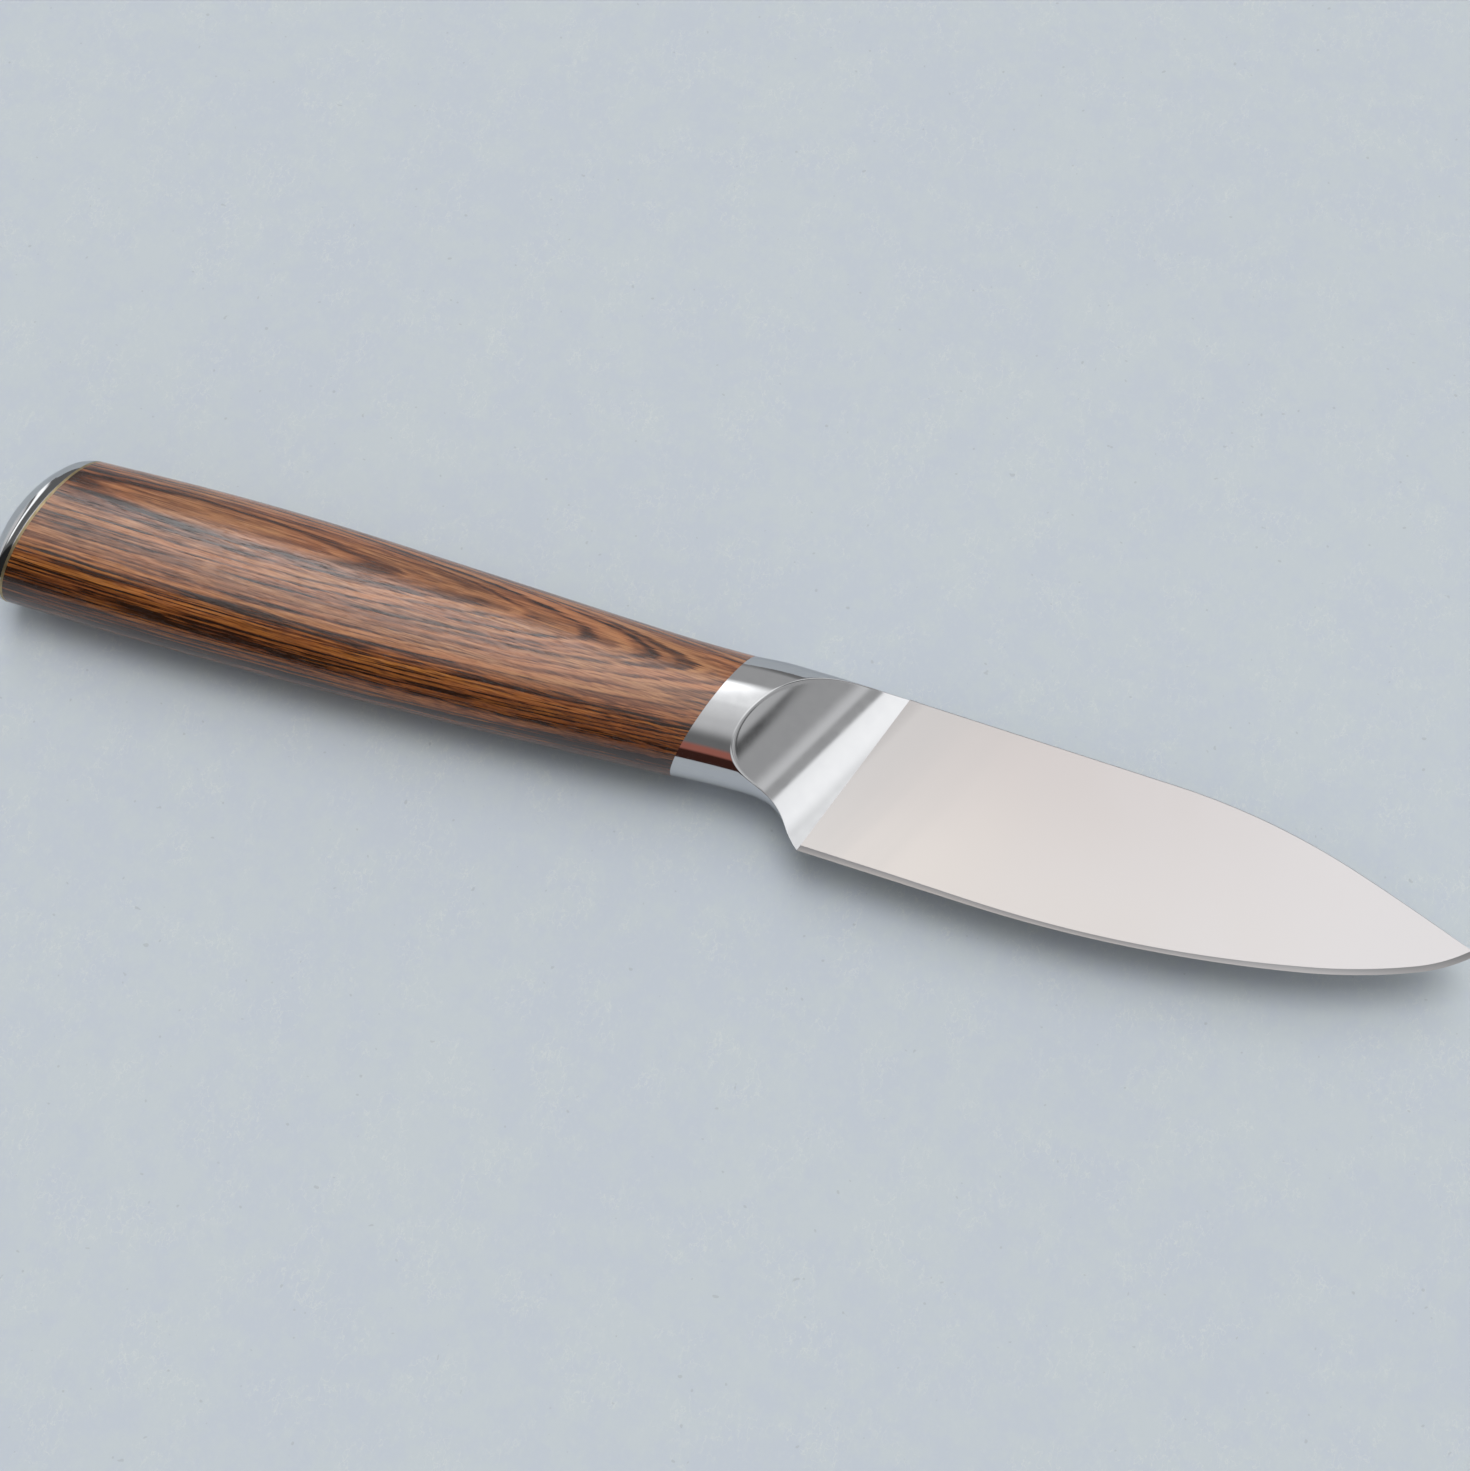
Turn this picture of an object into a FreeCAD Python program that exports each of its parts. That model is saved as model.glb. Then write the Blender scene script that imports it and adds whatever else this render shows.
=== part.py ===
"""Paring knife lying on its side: satin blade, polished bolster, oval wooden grip and domed end cap.

Modelling frame, in millimetres: X runs along the grip's axis to the tip, Y to the spine and Z up from the
blade's middle plane. X is 0 where the axis passes from the wood into the bolster. The finished pieces are
then moved together, so that the knife rests on Z = 0 with the middle of its box over the origin.
"""
import FreeCAD, Part
import math
import os
import Sketcher
from FreeCAD import Placement, Rotation, Vector

DOC = FreeCAD.newDocument("paring_knife")
SHEET = DOC.addObject("Spreadsheet::Sheet", "sizes")

# Driving dimensions: name, value, what it measures
SIZES = (
    ("wood_length", 95.0, "wood between bolster and liner, on the axis"),
    ("front_slant", 17.3, "lean of the bolster's two end planes, degrees"),
    ("butt_slant", 14.2, "lean of the plane at the butt, degrees"),
    ("back_height", 9.9, "highest point of the grip's back above the axis"),
    ("belly_depth", 14.9, "lowest point of the grip's belly below the axis"),
    ("neck_width", 15.0, "thickness of the grip at the bolster"),
    ("butt_width", 17.2, "thickness of the grip at the butt"),
    ("heel_reach", 16.6, "heel ahead of the wood, along the axis"),
    ("heel_depth", 14.8, "heel below the axis"),
    ("spine_height", 10.45, "spine above the axis, at the bolster"),
    ("edge_length", 89.0, "cutting edge from heel to tip, along the axis"),
    ("spine_thick", 2.0, "blade thickness at the spine, at the bolster"),
    ("heel_thick", 0.5, "blade thickness at the heel, before sharpening"),
    ("distal_taper", 0.16, "fall of each cheek towards the tip, degrees"),
    ("bevel_angle", 17.5, "sharpening angle of each side, degrees"),
    ("hollow_radius", 20.0, "radius of the hollow ground into each side of the bolster"),
    ("hollow_band", 1.4, "flat polished band between the hollow and the satin blade, at the heel"),
    ("hollow_lean", 25.0, "lean of the hollow's length, degrees"),
    ("tang_height", 7.0, "flat bar of the tang, spine side to edge side"),
    ("tang_thick", 3.0, "thickness of the tang's flat bar"),
    ("tang_drop", 1.8, "tang's middle line below the axis"),
    ("socket_depth", 8.0, "how far the tang enters the bolster"),
    ("bond_gap", 0.7, "epoxy between the tang and the slot in the wood"),
    ("tail_diameter", 4.0, "round tail of the tang"),
    ("tail_shoulder", 2.0, "end of the flat bar ahead of the washer's seat"),
    ("tail_proud", 1.0, "tail standing out of the nut"),
    ("tail_room", 2.0, "free length between the tail's end and the spigot"),
    ("washer_clearance", 0.75, "washer in the counterbore, on the radius"),
    ("washer_thick", 0.8, "washer, thickness"),
    ("nut_wall", 1.5, "nut around the tail, at its flats"),
    ("wrench_room", 1.2, "free width between the nut's corners and the counterbore"),
    ("nut_height", 3.2, "nut along the tail"),
    ("thread_clearance", 0.15, "tail in the washer and the nut, on the radius"),
    ("liner_thick", 0.4, "liner between wood and cap"),
    ("cap_rim", 1.2, "straight rim of the end cap"),
    ("dome_depth", 4.2, "end cap's dome behind its rim"),
    ("dome_edge", 30.0, "how far round the dome's ellipse its rim stands, degrees"),
    ("spigot_length", 2.4, "end cap's spigot, from the liner's rear face on the axis"),
    ("spigot_clearance", 0.1, "spigot in the counterbore and the liner, on the radius"),
    ("overrun", 5.0, "how far every cutting form passes the piece that it cuts"),
)
SIZE = {name: value for name, value, note in SIZES}

# Outline of the grip, from the front of the wood to its rear end.
# along: share of the wood's length; back and belly: shares of the grip's back height and belly depth
GRIP_SHARES = (
    (0.000, 0.982, 0.658),
    (0.065, 0.957, 0.693),
    (0.170, 0.954, 0.748),
    (0.340, 0.976, 0.828),
    (0.505, 0.995, 0.893),
    (0.675, 1.000, 0.944),
    (0.840, 0.950, 0.980),
    (1.000, 0.838, 1.000),
)
GRIP_RUNS = 14

# Oval sections of the bolster, from the wood to just past the blade.
# along: share of the bolster's length; top and bottom: shares of the spine height and heel depth.
# The bottom shares run level, then sweep down to the heel: this is the choil.
BOLSTER_SHARES = (
    (0.000, 0.930, 0.662),
    (0.200, 0.975, 0.636),
    (0.420, 0.986, 0.617),
    (0.550, 0.989, 0.619),
    (0.650, 0.991, 0.649),
    (0.720, 0.993, 0.695),
    (0.800, 0.995, 0.775),
    (0.875, 0.997, 0.873),
    (0.955, 0.999, 0.963),
    (1.060, 1.002, 1.060),
)

# Corners of the blade's outline: share of the edge's length from the heel, share of the height.
# Edge corners take the heel depth, spine corners the spine height.
EDGE_STRAIGHT_SHARE = 0.263
EDGE_BELLY_SHARES = (0.757, 0.662)
EDGE_TIP_SHARES = (0.920, 0.334)
SPINE_STRAIGHT_SHARES = (0.510, 0.962)
SPINE_FALL_SHARES = (0.802, 0.572)

# Formulas that several pieces share
SEAM_X = "(sizes.heel_reach + sizes.heel_depth * tan(sizes.front_slant))"
BUTT_X = "(-sizes.wood_length)"
LINER_X = "(-sizes.wood_length - sizes.liner_thick)"
SPIGOT_X = f"({LINER_X} + sizes.spigot_length)"
TAIL_X = f"({SPIGOT_X} + sizes.tail_room)"
NUT_X = f"({TAIL_X} + sizes.tail_proud)"
WASHER_X = f"({NUT_X} + sizes.nut_height)"
RECESS_FLOOR_X = f"({WASHER_X} + sizes.washer_thick)"
BAR_REAR_X = f"({RECESS_FLOOR_X} + sizes.tail_shoulder)"
NUT_RADIUS = "((sizes.tail_diameter / 2 + sizes.nut_wall) / cos(30))"
RECESS_RADIUS = f"({NUT_RADIUS} + sizes.wrench_room)"
REACH = "(sizes.belly_depth + sizes.heel_depth + sizes.overrun)"


def fill_sheet():
    """Writes the driving dimensions into the sheet, one named cell each."""
    for row, (name, value, note) in enumerate(SIZES, start=1):
        SHEET.set(f"A{row}", note)
        SHEET.set(f"B{row}", str(value))
        SHEET.setAlias(f"B{row}", name)
    DOC.recompute()


def add(kind, name, **formulas):
    """Adds one object and binds its properties to formulas of the sheet's cells."""
    item = DOC.addObject(kind, name)
    for key, formula in formulas.items():
        item.setExpression(key, formula)
    return item


def place(x="0", y="0", z="0", yaw="0", pitch="0", roll="0"):
    """Formula of a placement: a point, then turns about Z, Y and X."""
    return f"placement(vector({x}; {y}; {z}); rotation({yaw}; {pitch}; {roll}))"


def boolean(kind, name, base, tool):
    """Joins two forms by a cut, a common or a fuse."""
    item = DOC.addObject(kind, name)
    item.Base = base
    item.Tool = tool
    return item


def cut(name, base, *tools):
    """Takes each tool away from the base, in turn; the last cut bears the name."""
    for number, tool in enumerate(tools, start=1):
        step = name if number == len(tools) else f"{name}_cut_{number}"
        base = boolean("Part::Cut", step, base, tool)
    return base


def mirrored(name, source):
    """The same form on the other side of the blade's middle plane."""
    item = DOC.addObject("Part::Mirroring", name)
    item.Source = source
    item.Normal = Vector(0, 0, 1)
    return item


def oval(name, along_x, slant, top, bottom, share):
    """One oval section in a leaning plane, from a height above the axis to a depth below it."""
    middle = f"(({top}) - ({bottom})) / 2"
    return add(
        "Part::Ellipse", name,
        MajorRadius=f"(({top}) + ({bottom})) / 2 / cos({slant})",
        MinorRadius=f"(sizes.neck_width + (sizes.butt_width - sizes.neck_width) * ({share})) / 2",
        Placement=place(f"{along_x} + tan({slant}) * {middle}", middle, yaw=f"90 - ({slant})", roll="90"))


def grip_oval(name, share, back_share, belly_share, behind="0"):
    """A section of the wood; its plane leans more towards the butt's lean the further back it stands."""
    return oval(
        name, f"(-{share} * sizes.wood_length - {behind})",
        f"sizes.front_slant + (sizes.butt_slant - sizes.front_slant) * {share}",
        f"{back_share} * sizes.back_height", f"{belly_share} * sizes.belly_depth", share)


def bolster_oval(name, share, top_share, bottom_share):
    """A section of the bolster, parallel to its two end planes."""
    along_x = f"{share} * {SEAM_X}"
    return oval(
        name, along_x, "sizes.front_slant",
        f"{top_share} * sizes.spine_height", f"{bottom_share} * sizes.heel_depth",
        f"-{along_x} / sizes.wood_length")


def grip_rows():
    """Sections of the grip along a smooth curve through its outline's shares, without the two ends."""
    curve = Part.BSplineCurve()
    curve.interpolate([Vector(*row) for row in GRIP_SHARES])
    return [(point.x, point.y, point.z) for point in curve.discretize(Number=GRIP_RUNS + 1)[1:-1]]


def loft(name, sections, ruled):
    """A solid through oval sections, by straight runs where it is ruled."""
    form = DOC.addObject("Part::Loft", name)
    form.Sections = sections
    form.Solid = True
    form.Ruled = ruled
    return form


def outer_forms():
    """A smooth form for the bolster and one of straight runs for the grip, through the same ovals, so they lie flush."""
    front = [bolster_oval(f"bolster_oval_{number}", *shares) for number, shares in enumerate(BOLSTER_SHARES, start=1)]
    rear = [grip_oval(f"grip_oval_{number}", *row) for number, row in enumerate(grip_rows(), start=1)]
    rear.append(grip_oval("butt_oval", *GRIP_SHARES[-1], behind="(sizes.liner_thick + sizes.cap_rim)"))
    return loft("smooth_form", rear[::-1] + front, False), loft("grip_form", front[:1] + rear, True)


def slab(name, plane_x, plane_y, slant, length, behind=False):
    """A block whose face is the leaning plane through a point, reaching ahead of it or behind it."""
    shift = f"-({length})" if behind else "0"
    corner = place(shift, f"-{REACH}", f"-{REACH}")
    return add(
        "Part::Box", name, Length=length, Width=f"2 * {REACH}", Height=f"2 * {REACH}",
        Placement=f"{place(plane_x, plane_y, yaw=f'-({slant})')} * {corner}")


def along_axis(kind, name, x, **formulas):
    """A round or six-sided form around the tang's middle line, reaching towards the tip from x."""
    return add(kind, name, Placement=place(x, "-sizes.tang_drop", pitch="90"), **formulas)


def flat_bar(name, rear_x, front_x, margin="0"):
    """The tang's flat bar, or the slot around it where a margin is given."""
    return add(
        "Part::Box", name,
        Length=f"{front_x} - {rear_x}",
        Width=f"sizes.tang_height + 2 * {margin}",
        Height=f"sizes.tang_thick + 2 * {margin}",
        Placement=place(
            rear_x, f"-sizes.tang_drop - sizes.tang_height / 2 - {margin}", f"-sizes.tang_thick / 2 - {margin}"))


def sketch_lines(sketch, corners):
    """Adds straight lines from corner to corner and returns their numbers."""
    return [sketch.addGeometry(Part.LineSegment(a, b)) for a, b in zip(corners, corners[1:])]


def join(sketch, first, second, smooth=False):
    """Joins the end of one line or arc to the start of the next, tangent where it is smooth."""
    kind = "Tangent" if smooth else "Coincident"
    sketch.addConstraint(Sketcher.Constraint(kind, first, 2, second, 1))


def measure(sketch, kind, formula, *where):
    """Adds a dimension at its drawn value, then binds it to a formula."""
    if kind == "Radius":
        drawn = sketch.Geometry[where[0]].Radius
    else:
        span = sketch.getPoint(*where[2:]) - sketch.getPoint(*where[:2])
        drawn = span.x if kind == "DistanceX" else span.y
    number = sketch.addConstraint(Sketcher.Constraint(kind, *where, drawn))
    sketch.setExpression(f"Constraints[{number}]", formula)


def grind_form():
    """What the wheel takes off one side: a quarter round, tangent to the flat that becomes the blade's cheek.

    Its frame stands at the heel: X runs square to the hollow within the cheek, Y along the hollow, Z out of the cheek.
    """
    height = "(sizes.spine_height + sizes.heel_depth)"
    fall = "tan(sizes.distal_taper)"
    rise = f"((sizes.spine_thick - sizes.heel_thick) / 2 / {height} + {fall} * tan(sizes.front_slant))"
    pitch = f"atan({fall} * cos(sizes.hollow_lean) + {rise} * sin(sizes.hollow_lean))"
    roll = f"atan(({rise} * cos(sizes.hollow_lean) - {fall} * sin(sizes.hollow_lean)) * cos({pitch}))"
    frame = place(
        "sizes.heel_reach", "-sizes.heel_depth", "sizes.heel_thick / 2", "-sizes.hollow_lean", pitch, roll)
    sketch = add("Sketcher::SketchObject", "grind_profile", Placement=f"{frame} * {place(roll='90')}")
    band, radius = SIZE["hollow_band"], SIZE["hollow_radius"]
    ahead = SIZE["edge_length"] + SIZE["overrun"]
    touch, rear = Vector(-band, 0), Vector(-band - radius, radius)
    middle = Vector(-band - radius * math.sin(math.pi / 4), radius * (1 - math.cos(math.pi / 4)))
    floor, front, roof = sketch_lines(sketch, (touch, Vector(ahead, 0), Vector(ahead, radius), rear))
    hollow = sketch.addGeometry(Part.Arc(rear, middle, touch))
    join(sketch, floor, front)
    join(sketch, front, roof)
    join(sketch, roof, hollow)
    join(sketch, hollow, floor, smooth=True)
    sketch.addConstraint([
        Sketcher.Constraint("Horizontal", floor),
        Sketcher.Constraint("Vertical", front),
        Sketcher.Constraint("Horizontal", roof),
        Sketcher.Constraint("PointOnObject", floor, 1, -1)])
    measure(sketch, "DistanceX", "sizes.hollow_band", floor, 1, -1, 1)
    measure(sketch, "DistanceX", "sizes.edge_length + sizes.overrun", -1, 1, floor, 2)
    measure(sketch, "DistanceY", "sizes.hollow_radius", front, 1, front, 2)
    measure(sketch, "Radius", "sizes.hollow_radius", hollow)
    form = add(
        "Part::Extrusion", "grind_above",
        LengthFwd="sizes.heel_reach * sin(sizes.hollow_lean) + sizes.overrun",
        LengthRev=f"{height} + sizes.edge_length * sin(sizes.hollow_lean) + sizes.overrun")
    form.Base = sketch
    form.DirMode = "Normal"
    form.Solid = True
    return form


def tangent_arc(start, heading, end):
    """Arc that leaves start along a heading and reaches end; returns it with its heading there."""
    chord = end - start
    half_turn = math.atan2(chord.y, chord.x) - heading
    middle = (start + end) / 2
    bulge = chord.Length / 2 * math.tan(half_turn / 2)
    square = Vector(chord.y, -chord.x) / chord.Length
    return Part.Arc(start, middle + square * bulge, end), heading + 2 * half_turn


def reversed_arc(arc):
    """The same arc, drawn from its end to its start."""
    middle = arc.value((arc.FirstParameter + arc.LastParameter) / 2)
    return Part.Arc(arc.EndPoint, middle, arc.StartPoint)


def edge_points():
    """Corners of the cutting edge at the sheet's values: heel, end of the straight, belly, fore belly and tip."""
    heel = Vector(SIZE["heel_reach"], -SIZE["heel_depth"])
    points = [heel, heel + Vector(EDGE_STRAIGHT_SHARE * SIZE["edge_length"], 0)]
    for along, depth in (EDGE_BELLY_SHARES, EDGE_TIP_SHARES, (1, 0)):
        points.append(Vector(heel.x + along * SIZE["edge_length"], -depth * SIZE["heel_depth"]))
    return points


def draw_edge(sketch, lead):
    """Draws the cutting edge into a sketch, from a point level with the heel to the tip: a straight and three arcs."""
    points = edge_points()
    straight = sketch.addGeometry(Part.LineSegment(points[0] - Vector(lead, 0), points[1]))
    chain, heading = [straight], 0.0
    for start, end in zip(points[1:], points[2:]):
        arc, heading = tangent_arc(start, heading, end)
        chain.append(sketch.addGeometry(arc))
    sketch.addConstraint(Sketcher.Constraint("Horizontal", straight))
    for first, second in zip(chain, chain[1:]):
        join(sketch, first, second, smooth=True)
    measure(sketch, "DistanceY", "sizes.heel_depth", straight, 2, -1, 1)
    shares = ((EDGE_STRAIGHT_SHARE, None), EDGE_BELLY_SHARES, EDGE_TIP_SHARES)
    for item, (along, depth) in zip(chain, shares):
        measure(sketch, "DistanceX", f"sizes.heel_reach + {along} * sizes.edge_length", -1, 1, item, 2)
        if depth:
            measure(sketch, "DistanceY", f"{depth} * sizes.heel_depth", item, 2, -1, 1)
    measure(sketch, "DistanceX", "sizes.heel_reach + sizes.edge_length", -1, 1, chain[-1], 2)
    sketch.addConstraint(Sketcher.Constraint("PointOnObject", chain[-1], 2, -1))
    return chain, heading


def blade_plate():
    """The blade's outline as a plate thicker than the blade: seam, spine, tip and edge."""
    body = DOC.addObject("PartDesign::Body", "blade_plate")
    sketch = body.newObject("Sketcher::SketchObject", "blade_outline")
    plane = next(item for item in body.Origin.OriginFeatures if item.Role == "XY_Plane")
    sketch.AttachmentSupport = [(plane, "")]
    sketch.MapMode = "FlatFace"
    edge, heading = draw_edge(sketch, 0)
    points = edge_points()
    heel, tip = points[0], points[-1]
    height = SIZE["spine_height"]
    lean = math.tan(math.radians(SIZE["front_slant"]))
    top = Vector(heel.x + lean * (height + SIZE["heel_depth"]), height)
    along, share = SPINE_STRAIGHT_SHARES
    bend = Vector(heel.x + along * SIZE["edge_length"], share * height)
    fall_along, fall_share = SPINE_FALL_SHARES
    fall = Vector(heel.x + fall_along * SIZE["edge_length"], fall_share * height)
    heading = math.atan2(bend.y - top.y, bend.x - top.x)
    bend_arc, heading = tangent_arc(bend, heading, fall)
    tip_arc, heading = tangent_arc(fall, heading, tip)
    point = sketch.addGeometry(reversed_arc(tip_arc))
    shoulder = sketch.addGeometry(reversed_arc(bend_arc))
    spine, seam = sketch_lines(sketch, (bend, top, heel))
    join(sketch, edge[-1], point)
    join(sketch, point, shoulder, smooth=True)
    join(sketch, shoulder, spine, smooth=True)
    join(sketch, spine, seam)
    join(sketch, seam, edge[0])
    measure(sketch, "DistanceX", "sizes.heel_reach", -1, 1, seam, 2)
    measure(sketch, "DistanceY", "sizes.spine_height", -1, 1, seam, 1)
    measure(
        sketch, "DistanceX", "(sizes.spine_height + sizes.heel_depth) * tan(sizes.front_slant)", seam, 2, seam, 1)
    measure(sketch, "DistanceX", f"sizes.heel_reach + {along} * sizes.edge_length", -1, 1, spine, 1)
    measure(sketch, "DistanceY", f"{share} * sizes.spine_height", -1, 1, spine, 1)
    measure(sketch, "DistanceX", f"sizes.heel_reach + {fall_along} * sizes.edge_length", -1, 1, point, 2)
    measure(sketch, "DistanceY", f"{fall_share} * sizes.spine_height", -1, 1, point, 2)
    pad = body.newObject("PartDesign::Pad", "blade_stock")
    pad.Profile = sketch
    pad.Midplane = True
    pad.setExpression("Length", "sizes.spine_thick + sizes.overrun")
    return body


def sharpening_form():
    """A form with two sloping sides that meet in the cutting edge: what lies outside it is ground off as the bevel."""
    sketch = DOC.addObject("Sketcher::SketchObject", "edge_outline")
    margin, height = SIZE["overrun"], SIZE["spine_height"] + SIZE["overrun"]
    edge, heading = draw_edge(sketch, margin)
    tip = edge_points()[-1]
    beyond = tip + Vector(margin, margin * math.tan(heading))
    start = Vector(SIZE["heel_reach"] - margin, -SIZE["heel_depth"])
    corners = (tip, beyond, Vector(beyond.x, height), Vector(start.x, height), start)
    lead_out, front, roof, rear = sketch_lines(sketch, corners)
    join(sketch, edge[-1], lead_out, smooth=True)
    join(sketch, lead_out, front)
    join(sketch, front, roof)
    join(sketch, roof, rear)
    join(sketch, rear, edge[0])
    sketch.addConstraint([
        Sketcher.Constraint("Vertical", front),
        Sketcher.Constraint("Horizontal", roof),
        Sketcher.Constraint("Vertical", rear)])
    measure(sketch, "DistanceX", "sizes.overrun", lead_out, 1, lead_out, 2)
    measure(sketch, "DistanceX", "sizes.overrun", edge[0], 1, -1, 1)
    measure(sketch, "DistanceY", "sizes.spine_height + sizes.overrun", -1, 1, roof, 1)
    form = add(
        "Part::Extrusion", "sharpening",
        LengthFwd="sizes.spine_thick", LengthRev="sizes.spine_thick",
        TaperAngle="sizes.bevel_angle - 90", TaperAngleRev="sizes.bevel_angle - 90")
    form.Base = sketch
    form.DirMode = "Normal"
    form.Solid = True
    return form


def blade(grinds):
    """Plate with its edge sharpened and both cheeks ground."""
    sharpened = boolean("Part::Common", "blade_sharpened", blade_plate(), sharpening_form())
    return cut("blade", sharpened, *grinds)


def bolster(form, ahead_of_wood, socket, grinds):
    """Front of the smooth form, ended at the seam, hollowed on both sides and sunk for the tang."""
    collar = boolean("Part::Common", "bolster_blank", form, ahead_of_wood)
    ahead_of_blade = slab("ahead_of_seam", "sizes.heel_reach", "-sizes.heel_depth", "sizes.front_slant", SEAM_X)
    return cut("bolster", collar, ahead_of_blade, *grinds, socket)


def tang(bar):
    """Flat bar that fills the bolster's socket, with a round tail for the nut."""
    tail = along_axis(
        "Part::Cylinder", "tail", TAIL_X, Radius="sizes.tail_diameter / 2", Height=f"{BAR_REAR_X} - {TAIL_X}")
    return boolean("Part::Fuse", "tang", bar, tail)


def handle(form, behind_wood, slot, tail_hole, recess):
    """Wood of the grip's form, with the tang's slot and the counterbore."""
    return cut("handle", form, behind_wood, slot, tail_hole, recess)


def tang_bond(ahead_of_wood, bar):
    """Epoxy in the slot around the flat bar."""
    bed = flat_bar("bond_bed", BAR_REAR_X, SEAM_X, "sizes.bond_gap")
    return cut("tang_bond", bed, ahead_of_wood, bar)


def tang_washer(tail_hole):
    """Washer on the counterbore's floor."""
    disc = along_axis(
        "Part::Cylinder", "washer_disc", WASHER_X,
        Radius=f"{RECESS_RADIUS} - sizes.washer_clearance", Height="sizes.washer_thick")
    return cut("tang_washer", disc, tail_hole)


def tang_nut(tail_hole):
    """Six-sided nut on the washer."""
    block = along_axis(
        "Part::Prism", "nut_block", NUT_X, Circumradius=NUT_RADIUS, Height="sizes.nut_height")
    block.Polygon = 6
    return cut("tang_nut", block, tail_hole)


def butt_liner(form, behind_wood, behind_liner, recess):
    """Thin slice of the grip's form behind the wood."""
    rear_of_form = boolean("Part::Common", "liner_blank", form, behind_wood)
    return cut("butt_liner", rear_of_form, behind_liner, recess)


def end_cap(form, behind_liner):
    """End of the grip's form as a rim, cap of an ellipsoid on the rim's own oval, and a spigot into the counterbore."""
    along, back_share, belly_share = GRIP_SHARES[-1]
    top, bottom = f"{back_share} * sizes.back_height", f"{belly_share} * sizes.belly_depth"
    middle = f"({top} - {bottom}) / 2"
    rim_x = f"({LINER_X} - sizes.cap_rim)"
    ellipsoid = add(
        "Part::Ellipsoid", "cap_ellipsoid",
        Radius1="sizes.dome_depth / (1 - sin(sizes.dome_edge))",
        Radius2="sizes.butt_width / 2 / cos(sizes.dome_edge)",
        Radius3=f"({top} + {bottom}) / 2 / cos(sizes.butt_slant) / cos(sizes.dome_edge)",
        Placement=" * ".join((
            place(f"{rim_x} + tan(sizes.butt_slant) * {middle}", middle, yaw="-sizes.butt_slant", pitch="90"),
            place(z="sizes.dome_depth / (1 / sin(sizes.dome_edge) - 1)"))))
    behind_rim = slab("behind_rim", rim_x, "0", "sizes.butt_slant", REACH, behind=True)
    dome = boolean("Part::Common", "cap_dome", ellipsoid, behind_rim)
    rim = boolean("Part::Common", "cap_rim_form", form, behind_liner)
    rear = f"({rim_x} - sizes.dome_depth / 2)"
    peg = along_axis(
        "Part::Cylinder", "cap_peg", rear, Radius=f"{RECESS_RADIUS} - sizes.spigot_clearance",
        Height=f"{SPIGOT_X} - {rear}")
    return boolean("Part::Fuse", "end_cap", boolean("Part::Fuse", "cap_shell", rim, dome), peg)


def build():
    """Makes the shared forms, then every piece from tip to butt."""
    fill_sheet()
    smooth_form, grip_form = outer_forms()
    grind = grind_form()
    grinds = (grind, mirrored("grind_below", grind))
    ahead_of_wood = slab("ahead_of_wood", "0", "0", "sizes.front_slant", f"2 * {SEAM_X}")
    behind_wood = slab("behind_wood", BUTT_X, "0", "sizes.butt_slant", REACH, behind=True)
    behind_liner = slab("behind_liner", LINER_X, "0", "sizes.butt_slant", REACH, behind=True)
    bar = flat_bar("tang_bar", BAR_REAR_X, "sizes.socket_depth")
    slot = flat_bar("tang_slot", f"({RECESS_FLOOR_X} - sizes.overrun)", SEAM_X, "sizes.bond_gap")
    recess = along_axis(
        "Part::Cylinder", "recess", f"({RECESS_FLOOR_X} - {REACH})",
        Radius=RECESS_RADIUS, Height=REACH)
    tail_hole = along_axis(
        "Part::Cylinder", "tail_hole", f"({RECESS_FLOOR_X} - {REACH})",
        Radius="sizes.tail_diameter / 2 + sizes.thread_clearance", Height=f"2 * {REACH}")
    return (
        blade(grinds),
        bolster(smooth_form, ahead_of_wood, bar, grinds),
        tang(bar),
        tang_bond(ahead_of_wood, bar),
        handle(grip_form, behind_wood, slot, tail_hole, recess),
        tang_washer(tail_hole),
        tang_nut(tail_hole),
        butt_liner(grip_form, behind_wood, behind_liner, recess),
        end_cap(grip_form, behind_liner))


def lay_down(pieces):
    """Moves the knife so that it rests on Z = 0, with the middle of its box over the origin."""
    box = FreeCAD.BoundBox()
    for piece in pieces:
        box.add(piece.Shape.optimalBoundingBox(False))
    shift = Vector(-box.Center.x, -box.Center.y, -box.ZMin)
    for piece in pieces:
        piece.Placement = Placement(shift, Rotation())


def check(pieces):
    """Stops where an object failed or a piece isn't one valid solid."""
    for item in DOC.Objects:
        if {"Invalid", "Error"} & set(item.State):
            raise RuntimeError(f"{item.Label} failed: {item.State}")
    for piece in pieces:
        if piece.Shape.isNull() or not piece.Shape.isValid() or len(piece.Shape.Solids) != 1:
            raise RuntimeError(f"{piece.Label} isn't one valid solid")


def write(pieces):
    """Writes one STEP file for each piece."""
    os.makedirs("parts", exist_ok=True)
    for piece in pieces:
        piece.Shape.exportStep(f"parts/{piece.Label}.step")
        box = piece.Shape.optimalBoundingBox(False)
        print(f"{piece.Label}: {piece.Shape.Volume:.1f} mm3, X {box.XMin:.2f} to {box.XMax:.2f}, "
              f"Y {box.YMin:.2f} to {box.YMax:.2f}, Z {box.ZMin:.2f} to {box.ZMax:.2f}")


PIECES = build()
DOC.recompute()
check(PIECES)
lay_down(PIECES)
DOC.recompute()
check(PIECES)
write(PIECES)
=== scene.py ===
import math

import bmesh
import bpy
import numpy as np
from mathutils import Matrix, Vector


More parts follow.
